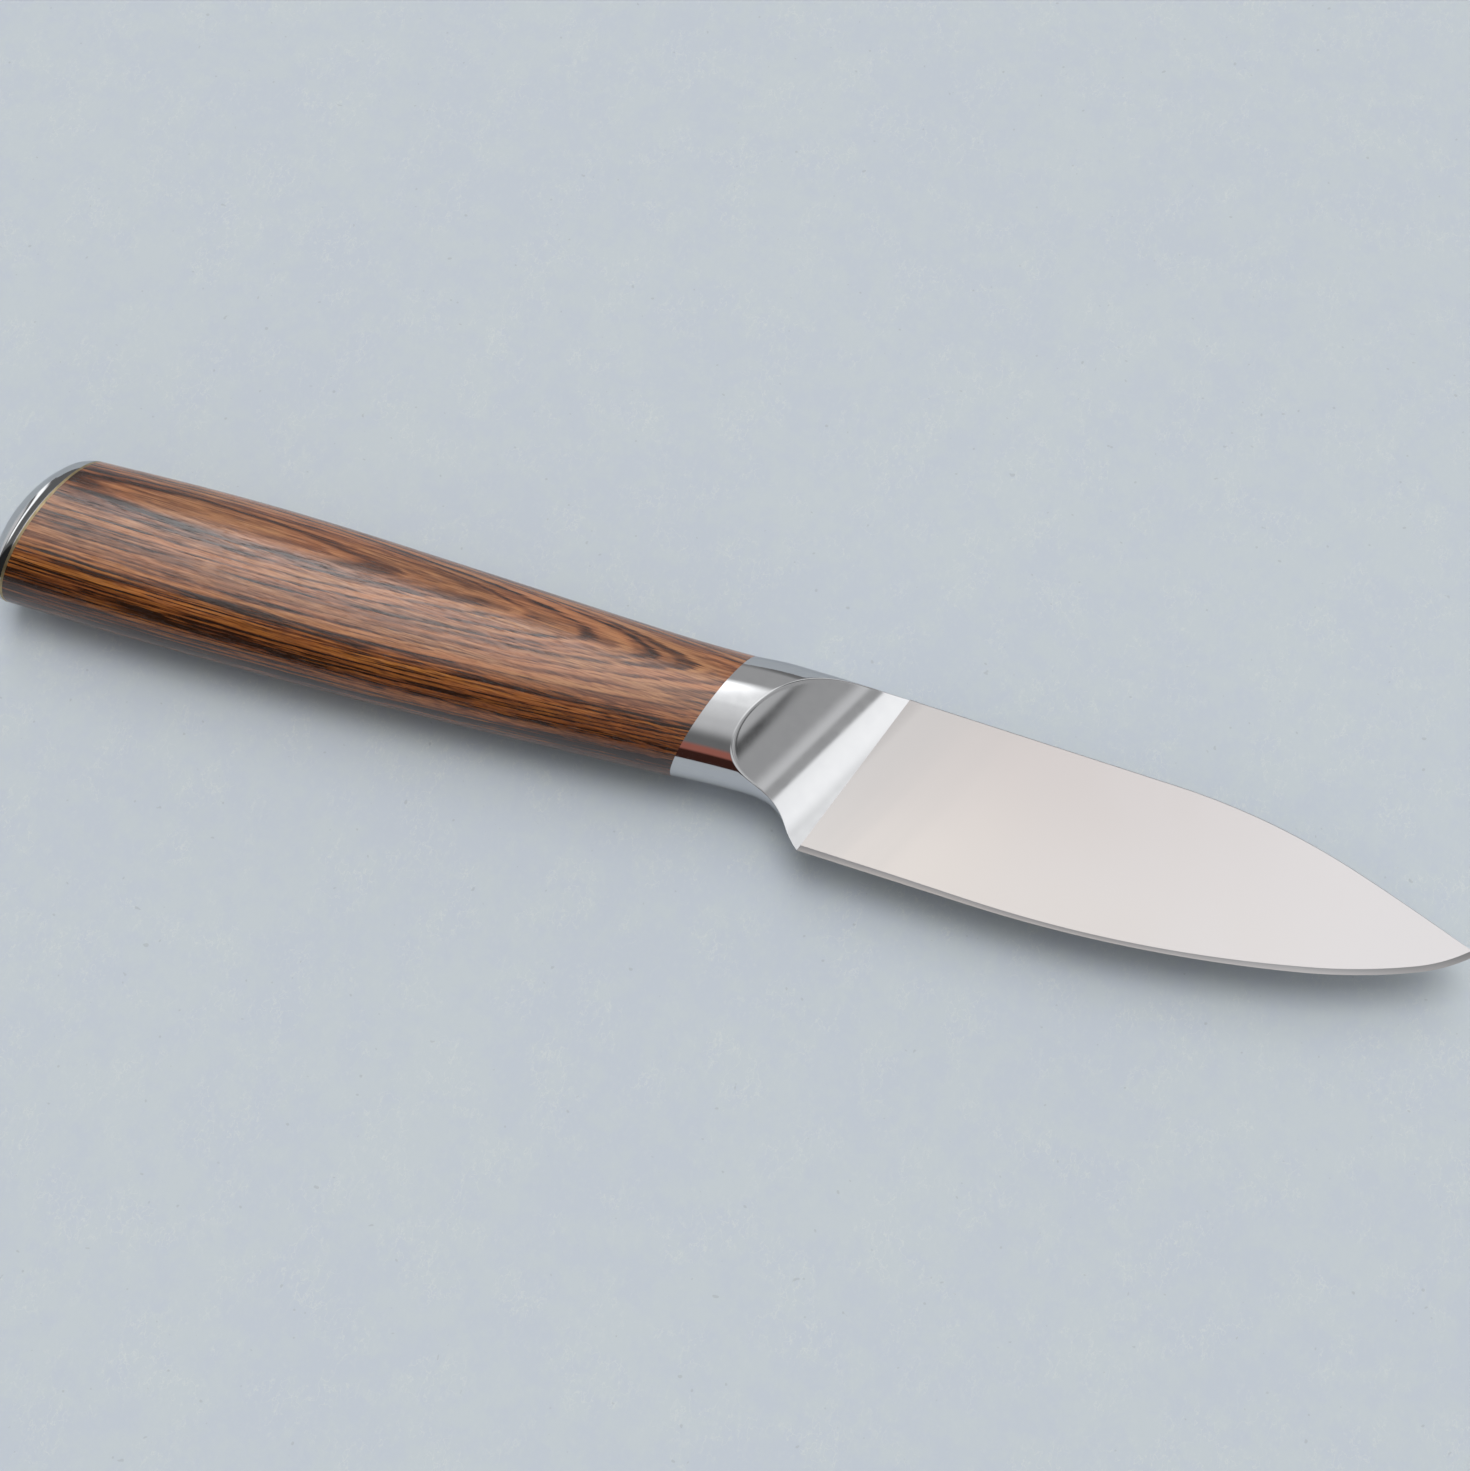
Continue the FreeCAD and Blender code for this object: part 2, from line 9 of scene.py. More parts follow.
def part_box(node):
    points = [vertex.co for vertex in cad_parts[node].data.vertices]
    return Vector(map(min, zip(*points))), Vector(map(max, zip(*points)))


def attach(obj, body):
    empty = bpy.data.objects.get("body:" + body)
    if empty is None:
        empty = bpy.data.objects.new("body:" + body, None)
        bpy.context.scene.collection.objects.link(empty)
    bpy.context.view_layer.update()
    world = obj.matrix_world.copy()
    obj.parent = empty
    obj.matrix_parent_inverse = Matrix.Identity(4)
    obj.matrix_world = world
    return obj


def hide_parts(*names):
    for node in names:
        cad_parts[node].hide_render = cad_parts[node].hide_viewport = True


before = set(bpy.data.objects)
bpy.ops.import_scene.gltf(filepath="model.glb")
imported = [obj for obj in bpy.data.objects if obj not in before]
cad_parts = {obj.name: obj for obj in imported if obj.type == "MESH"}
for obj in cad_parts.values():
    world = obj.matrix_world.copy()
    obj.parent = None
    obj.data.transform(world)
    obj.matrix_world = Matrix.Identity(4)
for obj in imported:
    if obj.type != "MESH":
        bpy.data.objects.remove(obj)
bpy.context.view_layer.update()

MM = 0.001

# Sizes in millimetres, on an axis that runs along the grip to the tip, from zero where wood meets bolster.
WOOD_LENGTH = 95.0
FRONT_SLANT, BUTT_SLANT = 17.3, 14.2
BACK_HEIGHT, BELLY_DEPTH = 9.9, 14.9
NECK_WIDTH, BUTT_WIDTH = 15.0, 17.2
HEEL = np.array([16.6, -14.8])
SPINE_HEIGHT = 10.45
EDGE_LENGTH = 89.0
HEEL_THICK = 0.5
CHEEK_RISE, CHEEK_FALL = 0.030573, 0.0027925
BEVEL_SLOPE = math.tan(math.radians(17.5))
HOLLOW_RADIUS, HOLLOW_BAND, HOLLOW_LEAN = 20.0, 1.4, math.radians(25)
TANG_HEIGHT, TANG_THICK, TANG_DROP, SOCKET_DEPTH, BOND_GAP = 7.0, 3.0, 1.8, 8.0, 0.7
LINER_THICK, CAP_RIM, DOME_DEPTH, DOME_EDGE = 0.4, 1.2, 4.2, math.radians(30)
SPIGOT_LENGTH, SPIGOT_RADIUS = 2.4, 5.141
RECESS_FLOOR, RECESS_RADIUS, TAIL_HOLE_RADIUS = -86.0, 5.241, 2.15
HOLLOW_EASE, SPINE_EASE, CAP_EASE = 0.3, 0.18, math.radians(9)
BEVEL_WIDEST = 0.75
WELD = 1e-7

# Points that the edge and the spine pass through: shares of the edge's length, then of heel depth or spine height.
EDGE_STRAIGHT = 0.263
EDGE_BELLY, EDGE_FORE = (0.757, 0.662), (0.920, 0.334)
SPINE_BEND, SPINE_FALL = (0.510, 0.962), (0.802, 0.572)

# Outlines of grip and bolster: share along, then shares of the height above and the depth below the axis.
RIM_END = (WOOD_LENGTH + LINER_THICK + CAP_RIM) / WOOD_LENGTH
GRIP_SHARES = (
    (0.0, 0.982, 0.658),
    (0.065, 0.957, 0.693),
    (0.170, 0.954, 0.748),
    (0.340, 0.976, 0.828),
    (0.505, 0.995, 0.893),
    (0.675, 1.0, 0.944),
    (0.840, 0.950, 0.980),
    (RIM_END, 0.838, 1.0))
BOLSTER_SHARES = (
    (0.0, 0.930, 0.662),
    (0.2, 0.975, 0.636),
    (0.42, 0.986, 0.617),
    (0.55, 0.989, 0.619),
    (0.65, 0.991, 0.649),
    (0.72, 0.993, 0.695),
    (0.8, 0.995, 0.775),
    (0.875, 0.997, 0.873),
    (0.955, 0.999, 0.963),
    (1.06, 1.002, 1.060))
SEAM_X = HEEL[0] - HEEL[1] * math.tan(math.radians(FRONT_SLANT))

# Grain: the layers' crown and ridge on the knife's axis, and dark arcs by layer height, width and strength.
CROWN_X, RIDGE_Y = -75.0, 3.0
GRAIN_ARCS = (
    (7.60, 0.20, 0.55),
    (7.22, 0.08, 0.30),
    (6.67, 0.10, 0.56),
    (6.18, 0.10, 0.58),
    (5.59, 0.11, 0.56))

# View and light: the camera in degrees, millimetres and pixels of the image, the lamp in metres and watts.
CAMERA_TURN, CAMERA_TILT, CAMERA_DISTANCE = 18.743, 68.0, 371.41
CAMERA_AIM = (3.484, -1.831, 0.0)
FOCAL_PIXELS, IMAGE_PIXELS, SENSOR_WIDTH = 2743.06, 1470, 36.0
LAMP_SIZE, LAMP_POWER, LAMP_PLACE = 1.5, 22.5, (-0.15, 0.24, 2.70)
STUDIO_STRENGTH, STUDIO_LEVEL, STUDIO_LEAST = 1.2, 0.38, 0.02
FLOOR_REACH = 6.0

# The frame gives the knife's place: its tip, its spine and the blade's middle plane.
BLADE_LOW, BLADE_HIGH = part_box("blade")
TIP = np.array([HEEL[0] + EDGE_LENGTH, 0.0])
SHIFT = np.array([
    BLADE_HIGH.x - TIP[0] * MM,
    BLADE_HIGH.y - SPINE_HEIGHT * MM,
    (BLADE_LOW.z + BLADE_HIGH.z) / 2])


def in_frame(points):
    """Points in millimetres on the knife's axis, as metres in the shared frame."""
    return np.asarray(points, float) * MM + SHIFT


# Node trees


class Wire:
    """One output socket. Sums on it add Math nodes to its tree."""

    def __init__(self, board, socket):
        self.board, self.socket = board, socket

    def __add__(self, other): return self.board.math("ADD", self, other)
    def __radd__(self, other): return self.board.math("ADD", other, self)
    def __sub__(self, other): return self.board.math("SUBTRACT", self, other)
    def __rsub__(self, other): return self.board.math("SUBTRACT", other, self)
    def __mul__(self, other): return self.board.math("MULTIPLY", self, other)
    def __rmul__(self, other): return self.board.math("MULTIPLY", other, self)
    def __truediv__(self, other): return self.board.math("DIVIDE", self, other)
    def __rtruediv__(self, other): return self.board.math("DIVIDE", other, self)
    def __abs__(self): return self.board.math("ABSOLUTE", self)


class Board:
    """A node tree, with one way to add any node and short names for common ones."""

    def __init__(self, tree):
        self.tree = tree

    def node(self, kind, settings=None, inputs=None, output=0):
        """Adds a node: its settings first, then values or wires for its sockets, by name or number."""
        made = self.tree.nodes.new(kind)
        for key, value in (settings or {}).items():
            if key == "stops":
                self.set_stops(made.color_ramp, value)
            else:
                setattr(made, key, value)
        for key, value in (inputs or {}).items():
            if isinstance(value, Wire):
                self.tree.links.new(value.socket, made.inputs[key])
            else:
                made.inputs[key].default_value = value
        return Wire(self, made.outputs[output]) if len(made.outputs) else made

    @staticmethod
    def set_stops(ramp, stops):
        while len(ramp.elements) < len(stops):
            ramp.elements.new(1.0)
        for element, (place, colour) in zip(ramp.elements, stops):
            element.position, element.color = place, colour

    def math(self, operation, *values):
        return self.node("ShaderNodeMath", {"operation": operation}, dict(enumerate(values)))

    def vector(self, operation, first, second=None, **named):
        inputs = {0: first, **named}
        if second is not None:
            inputs[1] = second
        return self.node("ShaderNodeVectorMath", {"operation": operation}, inputs)

    def join(self, x, y, z):
        return self.node("ShaderNodeCombineXYZ", None, {"X": x, "Y": y, "Z": z})

    def split(self, vector):
        first = self.node("ShaderNodeSeparateXYZ", None, {"Vector": vector})
        outputs = first.socket.node.outputs
        return [Wire(self, outputs[axis]) for axis in "XYZ"]

    def blend(self, factor, first, second, how="MIX"):
        return self.node(
            "ShaderNodeMix", {"data_type": "RGBA", "blend_type": how},
            {0: factor, 6: first, 7: second}, output=2)

    def step(self, value, start, end, low=0.0, high=1.0):
        """Smooth change from low to high as a value goes from start to end."""
        return self.node(
            "ShaderNodeMapRange", {"interpolation_type": "SMOOTHSTEP"},
            {"Value": value, "From Min": start, "From Max": end, "To Min": low, "To Max": high})

    def band(self, value, start, full, fading, end):
        """One between two smooth changes, and nothing outside them."""
        return self.step(value, start, full) * self.step(value, end, fading)

    def ramp(self, value, *stops):
        return self.node("ShaderNodeValToRGB", {"stops": stops}, {"Fac": value})

    def noise(self, vector, scale, detail=2.0, roughness=0.5):
        return self.node(
            "ShaderNodeTexNoise", None,
            {"Vector": vector, "Scale": scale, "Detail": detail, "Roughness": roughness})


def colour(red, green, blue):
    """A screen colour of 0 to 255 as the linear colour that a shader takes."""
    shares = [value / 255 for value in (red, green, blue)]
    return tuple(
        share / 12.92 if share <= 0.04045 else ((share + 0.055) / 1.055) ** 2.4 for share in shares) + (1.0,)


# Materials


class Finish(Board):
    """A material with one Principled shader."""

    def __init__(self, name):
        self.material = bpy.data.materials.new(name)
        self.material.use_nodes = True
        super().__init__(self.material.node_tree)
        self.tree.nodes.clear()
        self.shader = self.tree.nodes.new("ShaderNodeBsdfPrincipled")
        output = self.tree.nodes.new("ShaderNodeOutputMaterial")
        self.tree.links.new(self.shader.outputs[0], output.inputs["Surface"])

    def set(self, **sockets):
        """Values or wires for the shader's own sockets; a low line in a name stands for a space."""
        for key, value in sockets.items():
            socket = self.shader.inputs[key.replace("_", " ")]
            if isinstance(value, Wire):
                self.tree.links.new(value.socket, socket)
            else:
                socket.default_value = value
        return self.material

    def place(self):
        """Millimetres on the knife's axis, from the object's own coordinates."""
        coordinates = self.node("ShaderNodeTexCoord", output="Object")
        return self.node(
            "ShaderNodeMapping", {"vector_type": "POINT"},
            {"Vector": coordinates, "Location": tuple(-SHIFT / MM), "Scale": (1 / MM,) * 3})

    def bump(self, height, strength, distance):
        return self.node(
            "ShaderNodeBump", None, {"Height": height, "Strength": strength, "Distance": distance})


def lacquered_wood():
    """Brown wood with fine dark grain, in gently curved layers that lie almost flat under the grip's top, and
    painted shade on the grip's lower side and lowest band.
    """
    finish = Finish("lacquered_wood")
    place = finish.place()
    x, y, z = finish.split(place)

    def streaks(along, across, detail, roughness=0.55):
        """Noise drawn out along the grip."""
        drawn_out = finish.vector("MULTIPLY", place, (along, across, across))
        return finish.noise(drawn_out, 1.0, detail, roughness)

    sway, ripple = streaks(0.03, 0.22, 1.0), streaks(0.14, 0.9, 3.0)
    fibres, hairs = streaks(0.22, 4.6, 3.0, 0.62), streaks(0.42, 8.5, 2.0)
    crown = x - CROWN_X
    ridge = finish.math("SQRT", (y - RIDGE_Y) * (y - RIDGE_Y) + 0.3)
    rise = 0.30 * y + 0.954 * z + 0.55 * (sway - 0.5)
    # Masks for the grip's lower side, which carries stronger grain, a gold tint and painted shade, and for its
    # lowest band by the floor, which carries painted shade.
    flank_grain_and_shade, under = finish.step(rise, 5.7, 4.0), finish.step(rise, 3.8, 0.5)
    fore = finish.step(x, -42.0, -10.0)
    level = rise - 0.00048 * (crown * crown) - 0.10 * (ridge - 0.55)
    layer = level + 0.24 * (ripple - 0.5) + 0.17 * (fibres - 0.5)

    def arc(height, width, strength):
        """A dark line where the layers pass a height."""
        return finish.step(abs(layer - height) / width, 0.15, 1.0, strength, 0.0)

    def threads(per_mm, drift, width):
        """Thin dark lines along the layers, where a stretched noise passes its middle."""
        wander = finish.noise(finish.join(x * drift, layer * per_mm, y * 0.03), 1.0, 1.0)
        return finish.step(abs(wander - 0.5), 0.2 * width, width, 1.0, 0.0)

    arcs = sum(arc(*row) for row in GRAIN_ARCS)
    coarse = (0.42 + 0.24 * flank_grain_and_shade) * threads(0.85, 0.006, 0.085)
    fine = (0.34 + 0.34 * flank_grain_and_shade) * threads(2.1, 0.012, 0.11)
    broken = finish.step(streaks(0.06, 0.9, 2.0), 0.36, 0.56, 0.25, 1.0)
    frayed = finish.step(streaks(0.10, 2.2, 2.0), 0.38, 0.58, 0.15, 1.0)
    lines = (arcs + coarse) * broken + fine * frayed
    dashes = finish.step(hairs, 0.54, 0.68)
    slow = finish.noise(finish.join(x * 0.012, layer * 0.9, y * 0.03), 1.0, 2.0) - 0.5
    # Painted shade darkens the lower side, most towards the front, and the lowest band; the top is a little
    # lighter towards the front.
    ground = 0.10 - 0.05 * fore + (0.09 + 0.22 * fore) * flank_grain_and_shade + 0.24 * under
    dark = ground + lines + 0.5 * slow + 1.1 * (fibres - 0.5) + 0.20 * dashes
    brown = finish.ramp(
        dark,
        (0.0, colour(178, 125, 83)),
        (0.33, colour(138, 89, 57)),
        (0.65, colour(92, 54, 34)),
        (1.0, colour(40, 22, 15)))
    hue = finish.step(finish.noise(finish.join(x * 0.06, layer * 1.4, y * 0.2), 1.0, 2.0), 0.35, 0.65)
    red = finish.blend(0.7 * hue, brown, (1.05, 0.88, 0.84, 1.0), "MULTIPLY")
    gold = finish.blend(flank_grain_and_shade * (1.0 - 0.4 * hue), red, (1.12, 0.97, 0.50, 1.0), "MULTIPLY")
    return finish.set(
        Base_Color=gold,
        Roughness=finish.step(fibres, 0.3, 0.7, 0.13, 0.20),
        IOR=1.7,
        Normal=finish.bump(fibres - 0.6 * dashes, 0.3, 0.00005))


def satin_steel():
    """Satin steel, warm, with painted light that makes it lighter towards edge and tip, painted shade that makes
    it greyer by the bolster, and a darker bevel.
    """
    finish = Finish("satin_steel")
    place = finish.place()
    x, y, _ = finish.split(place)
    bevel = finish.node("ShaderNodeAttribute", {"attribute_name": "bevel"}, output="Fac")
    drift = finish.noise(place, 0.06, 2.0)
    rubbed = finish.noise(finish.vector("MULTIPLY", place, (0.8, 0.04, 0.04)), 1.0, 2.0)
    past_seam = (x - HEEL[0]) * math.cos(HOLLOW_LEAN) - (y - HEEL[1]) * math.sin(HOLLOW_LEAN)
    swept = finish.noise(finish.join(past_seam * 0.25, y * 0.02, 0.0), 1.0, 2.0)
    # Painted shade: the blade is greyer and darker beside the bolster.
    root = finish.step(past_seam + 8.0 * (swept - 0.5), -4.0, 15.0, 1.0, 0.0)
    # Painted light: lighter from the spine towards the edge and towards the tip.
    across = finish.step(y + 12.0 * (drift - 0.5), 11.0, -14.0)
    warm = finish.blend(across, (0.482, 0.441, 0.426, 1.0), (0.548, 0.506, 0.478, 1.0))
    painted_light_to_tip = finish.step(x + 24.0 * (drift - 0.5), 25.0, 105.0)
    cheek = finish.blend(painted_light_to_tip, warm, (0.622, 0.596, 0.594, 1.0))
    cheek = finish.blend(0.75 * root, cheek, (0.415, 0.400, 0.393, 1.0))
    # The bevel is darker, most at its shoulder, and painted lighter towards the tip like the cheek.
    ground = finish.blend(finish.step(x, 55.0, 100.0), (0.34, 0.33, 0.335, 1.0), (0.46, 0.455, 0.46, 1.0))
    rough = finish.step(drift, 0.2, 0.8, 0.295, 0.32) + 0.02 * (rubbed - 0.5)
    return finish.set(Base_Color=finish.blend(bevel, cheek, ground), Metallic=1.0, Roughness=rough)


def polished_steel():
    """Mirror-polished steel, faintly uneven from the buffing wheel and softer in the ground hollows."""
    finish = Finish("polished_steel")
    place = finish.place()
    hollow = finish.node("ShaderNodeAttribute", {"attribute_name": "hollow"}, output="Fac")
    buffed = finish.noise(finish.vector("MULTIPLY", place, (0.5, 0.5, 0.5)), 1.0, 3.0)
    hairs = finish.noise(finish.vector("MULTIPLY", place, (14.0, 0.6, 0.6)), 1.0, 2.0)
    base = finish.blend(finish.step(buffed, 0.3, 0.7), (0.60, 0.60, 0.608, 1.0), (0.62, 0.62, 0.625, 1.0))
    rough = finish.step(buffed, 0.3, 0.7, 0.045, 0.075) + 0.035 * hollow + 0.02 * (hairs - 0.5)
    return finish.set(Base_Color=base, Metallic=1.0, Roughness=rough, Specular_Tint=(0.75, 0.75, 0.76, 1.0))


def tang_steel():
    """Plain rolled steel, dull and a little cloudy."""
    finish = Finish("tang_steel")
    place = finish.place()
    cloud = finish.noise(place, 0.4, 4.0, 0.6)
    rolled = finish.noise(finish.vector("MULTIPLY", place, (0.2, 5.0, 5.0)), 1.0, 2.0)
    base = finish.blend(finish.step(cloud, 0.3, 0.7), (0.40, 0.40, 0.41, 1.0), (0.58, 0.58, 0.59, 1.0))
    return finish.set(
        Base_Color=base, Metallic=1.0, Roughness=finish.step(rolled, 0.3, 0.7, 0.38, 0.55),
        Normal=finish.bump(rolled, 0.15, 0.00003))


def epoxy():
    """Cured amber epoxy with cloudy streaks."""
    finish = Finish("epoxy")
    place = finish.place()
    cloud = finish.noise(finish.vector("MULTIPLY", place, (0.15, 0.5, 0.5)), 1.0, 3.0)
    base = finish.blend(finish.step(cloud, 0.3, 0.7), (0.50, 0.36, 0.16, 1.0), (0.66, 0.55, 0.32, 1.0))
    return finish.set(Base_Color=base, Roughness=finish.step(cloud, 0.3, 0.7, 0.2, 0.35))


def liner_brass():
    """Thin brass line, polished flush with the wood and slightly dulled in places."""
    finish = Finish("liner_brass")
    place = finish.place()
    dull = finish.noise(place, 0.6, 3.0)
    base = finish.blend(finish.step(dull, 0.35, 0.65), (0.45, 0.355, 0.205, 1.0), (0.36, 0.285, 0.17, 1.0))
    return finish.set(Base_Color=base, Metallic=1.0, Roughness=finish.step(dull, 0.35, 0.65, 0.40, 0.52))


def pale_floor():
    """Pale blue-grey painted board, faintly mottled, with light flecks, fine strokes and a few dark specks."""
    finish = Finish("pale_floor")
    place = finish.place()
    cloud = finish.noise(place, 0.05, 3.0)
    mottle = finish.noise(place, 0.28, 5.0, 0.65)
    stroke = finish.noise(finish.vector("MULTIPLY", place, (0.45, 0.30, 1.0)), 1.0, 3.0, 0.6)
    fleck = finish.noise(finish.vector("MULTIPLY", place, (1.5, 0.9, 1.0)), 1.0, 4.0, 0.7)
    patch = finish.step(finish.noise(place, 0.13, 2.0), 0.42, 0.62)
    strokes = finish.step(abs(stroke - 0.5), 0.0, 0.016, 1.0, 0.0) * patch
    flecks = finish.step(fleck, 0.50, 0.68) * (0.4 + 0.6 * patch)
    specks = finish.step(finish.noise(place, 0.9, 1.0), 0.76, 0.80)
    greener = finish.step(mottle + 0.5 * (cloud - 0.5), 0.34, 0.66)
    base = finish.blend(greener, (0.540, 0.587, 0.645, 1.0), (0.560, 0.610, 0.640, 1.0))
    base = finish.blend(0.45 * flecks, base, (0.615, 0.655, 0.665, 1.0))
    base = finish.blend(0.5 * strokes, base, (0.67, 0.70, 0.69, 1.0))
    base = finish.blend(0.4 * specks, base, (0.36, 0.39, 0.41, 1.0))
    return finish.set(
        Base_Color=base, Roughness=finish.step(mottle, 0.3, 0.7, 0.55, 0.7), Specular_IOR_Level=0.2,
        Normal=finish.bump(mottle + 0.3 * strokes, 0.12, 0.0003))


# Shapes


def smooth_rows(rows):
    """Gives a function that reads a smooth curve through rows of a share and its values."""
    table = np.array(rows, float)
    knots, values = table[:, 0], table[:, 1:]
    gaps = np.diff(knots)
    count = len(knots)
    system, pull = np.eye(count), np.zeros_like(values)
    for i in range(1, count - 1):
        system[i, i - 1:i + 2] = gaps[i - 1], 2 * (gaps[i - 1] + gaps[i]), gaps[i]
        pull[i] = 6 * ((values[i + 1] - values[i]) / gaps[i] - (values[i] - values[i - 1]) / gaps[i - 1])
    bend = np.linalg.solve(system, pull)

    def read(share):
        i = int(np.clip(np.searchsorted(knots, share) - 1, 0, count - 2))
        ahead, behind = knots[i + 1] - share, share - knots[i]
        return (
            (bend[i] * ahead ** 3 + bend[i + 1] * behind ** 3) / (6 * gaps[i])
            + (values[i] / gaps[i] - bend[i] * gaps[i] / 6) * ahead
            + (values[i + 1] / gaps[i] - bend[i + 1] * gaps[i] / 6) * behind)

    return read


def station(along, slant, top, bottom, width, scale=1.0):
    """An oval in a leaning plane: its centre, the vector to its top and half its width."""
    middle, lean = (top - bottom) / 2, math.radians(slant)
    half = (top + bottom) / 2 / math.cos(lean)
    centre = np.array([along + math.tan(lean) * middle, middle, 0.0])
    return centre, scale * half * np.array([math.sin(lean), math.cos(lean), 0.0]), scale * width / 2


GRIP_CURVE, BOLSTER_CURVE = smooth_rows(GRIP_SHARES), smooth_rows(BOLSTER_SHARES)


def grip_station(behind, scale=1.0):
    """Oval of the grip at a distance behind the bolster."""
    share = min(behind / WOOD_LENGTH, 1.0)
    back, belly = GRIP_CURVE(behind / WOOD_LENGTH)
    return station(
        -behind, FRONT_SLANT + (BUTT_SLANT - FRONT_SLANT) * share, back * BACK_HEIGHT, belly * BELLY_DEPTH,
        NECK_WIDTH + (BUTT_WIDTH - NECK_WIDTH) * share, scale)


def bolster_station(share, scale=1.0):
    """Oval of the bolster before it is hollowed."""
    top, bottom = BOLSTER_CURVE(share)
    along = share * SEAM_X
    return station(
        along, FRONT_SLANT, top * SPINE_HEIGHT, bottom * -HEEL[1],
        NECK_WIDTH - (BUTT_WIDTH - NECK_WIDTH) * along / WOOD_LENGTH, scale)


def cap_stations(runs):
    """Ovals of the end cap: spigot, flat seat, and a short rim that rolls over into the low dome."""
    front, rim = WOOD_LENGTH + LINER_THICK, WOOD_LENGTH + LINER_THICK + CAP_RIM
    slope = math.tan(math.radians(BUTT_SLANT))
    nose = np.array([SPIGOT_LENGTH - front, 0.0, 0.0])
    seat = np.array([-front, 0.0, 0.0])
    rows = [
        (nose, np.zeros(3), 0.0),
        (nose, np.array([0.0, SPIGOT_RADIUS, 0.0]), SPIGOT_RADIUS),
        (seat, SPIGOT_RADIUS * np.array([slope, 1.0, 0.0]), SPIGOT_RADIUS),
        grip_station(front)]
    centre, rise, half = grip_station(rim)
    lean = math.radians(BUTT_SLANT)
    rearward = np.array([-math.cos(lean), math.sin(lean), 0.0])
    depth = DOME_DEPTH / (1 - math.sin(DOME_EDGE))

    def dome(turn):
        return np.array([
            depth * (math.sin(turn) - math.sin(DOME_EDGE)), math.cos(turn) / math.cos(DOME_EDGE)])

    blend_end = dome(DOME_EDGE + CAP_EASE)
    fall = -math.sin(DOME_EDGE + CAP_EASE) / math.cos(DOME_EDGE) / (depth * math.cos(DOME_EDGE + CAP_EASE))
    blend_start = np.array([-0.95 * CAP_RIM, 1.0])
    corner = np.array([blend_end[0] + (1.0 - blend_end[1]) / fall, 1.0])
    for t in np.linspace(0.0, 1.0, 20):
        reach, share = (1 - t) ** 2 * blend_start + 2 * t * (1 - t) * corner + t ** 2 * blend_end
        if reach < 0.0:
            rows.append(grip_station(rim + reach, share))
        else:
            rows.append((centre + reach * rearward, share * rise, share * half))
    for turn in np.linspace(DOME_EDGE + CAP_EASE, math.pi / 2, runs)[1:]:
        reach, share = dome(turn)
        rows.append((centre + reach * rearward, share * rise, share * half))
    return rows


def oval_skin_tree():
    """Geometry Nodes: a closed skin over ovals, one at each point, which carries its rise and half width."""
    tree = bpy.data.node_groups.new("oval_skin", "GeometryNodeTree")
    sockets = {}
    for name, kind in (
            ("Stations", "NodeSocketGeometry"), ("Sides", "NodeSocketInt"),
            ("Crowd", "NodeSocketFloat"), ("Weld", "NodeSocketFloat"), ("Finish", "NodeSocketMaterial")):
        sockets[name] = tree.interface.new_socket(name, in_out="INPUT", socket_type=kind).identifier
    tree.interface.new_socket("Skin", in_out="OUTPUT", socket_type="NodeSocketGeometry")
    board = Board(tree)
    entry = tree.nodes.new("NodeGroupInput")
    stations, sides, crowd, weld, finish = (Wire(board, entry.outputs[name]) for name in sockets)
    count = board.node(
        "GeometryNodeAttributeDomainSize", {"component": "MESH"}, {"Geometry": stations}, "Point Count")
    around = sides + 1
    grid = board.node("GeometryNodeMeshGrid", None, {"Vertices X": count, "Vertices Y": around}, "Mesh")
    index = board.node("GeometryNodeInputIndex")
    row = board.math("FLOOR", (index + 0.5) / around)
    even = (index - row * around) * (2 * math.pi) / sides
    turn = even - crowd * board.math("SINE", 2 * even)

    def carried(kind, value):
        return board.node(
            "GeometryNodeSampleIndex", {"data_type": kind, "domain": "POINT"},
            {"Geometry": stations, "Value": value, "Index": row})

    def attribute(kind, name):
        return board.node("GeometryNodeInputNamedAttribute", {"data_type": kind}, {"Name": name})

    centre = carried("FLOAT_VECTOR", board.node("GeometryNodeInputPosition"))
    rise = carried("FLOAT_VECTOR", attribute("FLOAT_VECTOR", "rise"))
    half = carried("FLOAT", attribute("FLOAT", "half_width"))
    lifted = board.vector("SCALE", rise, Scale=board.math("COSINE", turn))
    aside = board.join(0.0, 0.0, half * board.math("SINE", turn))
    spot = board.vector("ADD", centre, board.vector("ADD", lifted, aside))
    skin = board.node("GeometryNodeSetPosition", None, {"Geometry": grid, "Position": spot})
    skin = board.node("GeometryNodeMergeByDistance", None, {"Geometry": skin, "Distance": weld})
    skin = board.node("GeometryNodeRealizeInstances", None, {"Geometry": skin})
    skin = board.node("GeometryNodeSetMaterial", None, {"Geometry": skin, "Material": finish})
    exit_node = tree.nodes.new("NodeGroupOutput")
    tree.links.new(skin.socket, exit_node.inputs["Skin"])
    return tree, sockets


SKIN_TREE, SKIN_SOCKETS = oval_skin_tree()


def add_object(name, mesh):
    made = bpy.data.objects.new(name, mesh)
    bpy.context.scene.collection.objects.link(made)
    return made


def plain_copy(source, name):
    """What a modified object looks like, as a plain mesh object; the source goes."""
    graph = bpy.context.evaluated_depsgraph_get()
    mesh = bpy.data.meshes.new_from_object(source.evaluated_get(graph))
    mesh.name = name
    bpy.data.objects.remove(source)
    return add_object(name, mesh)


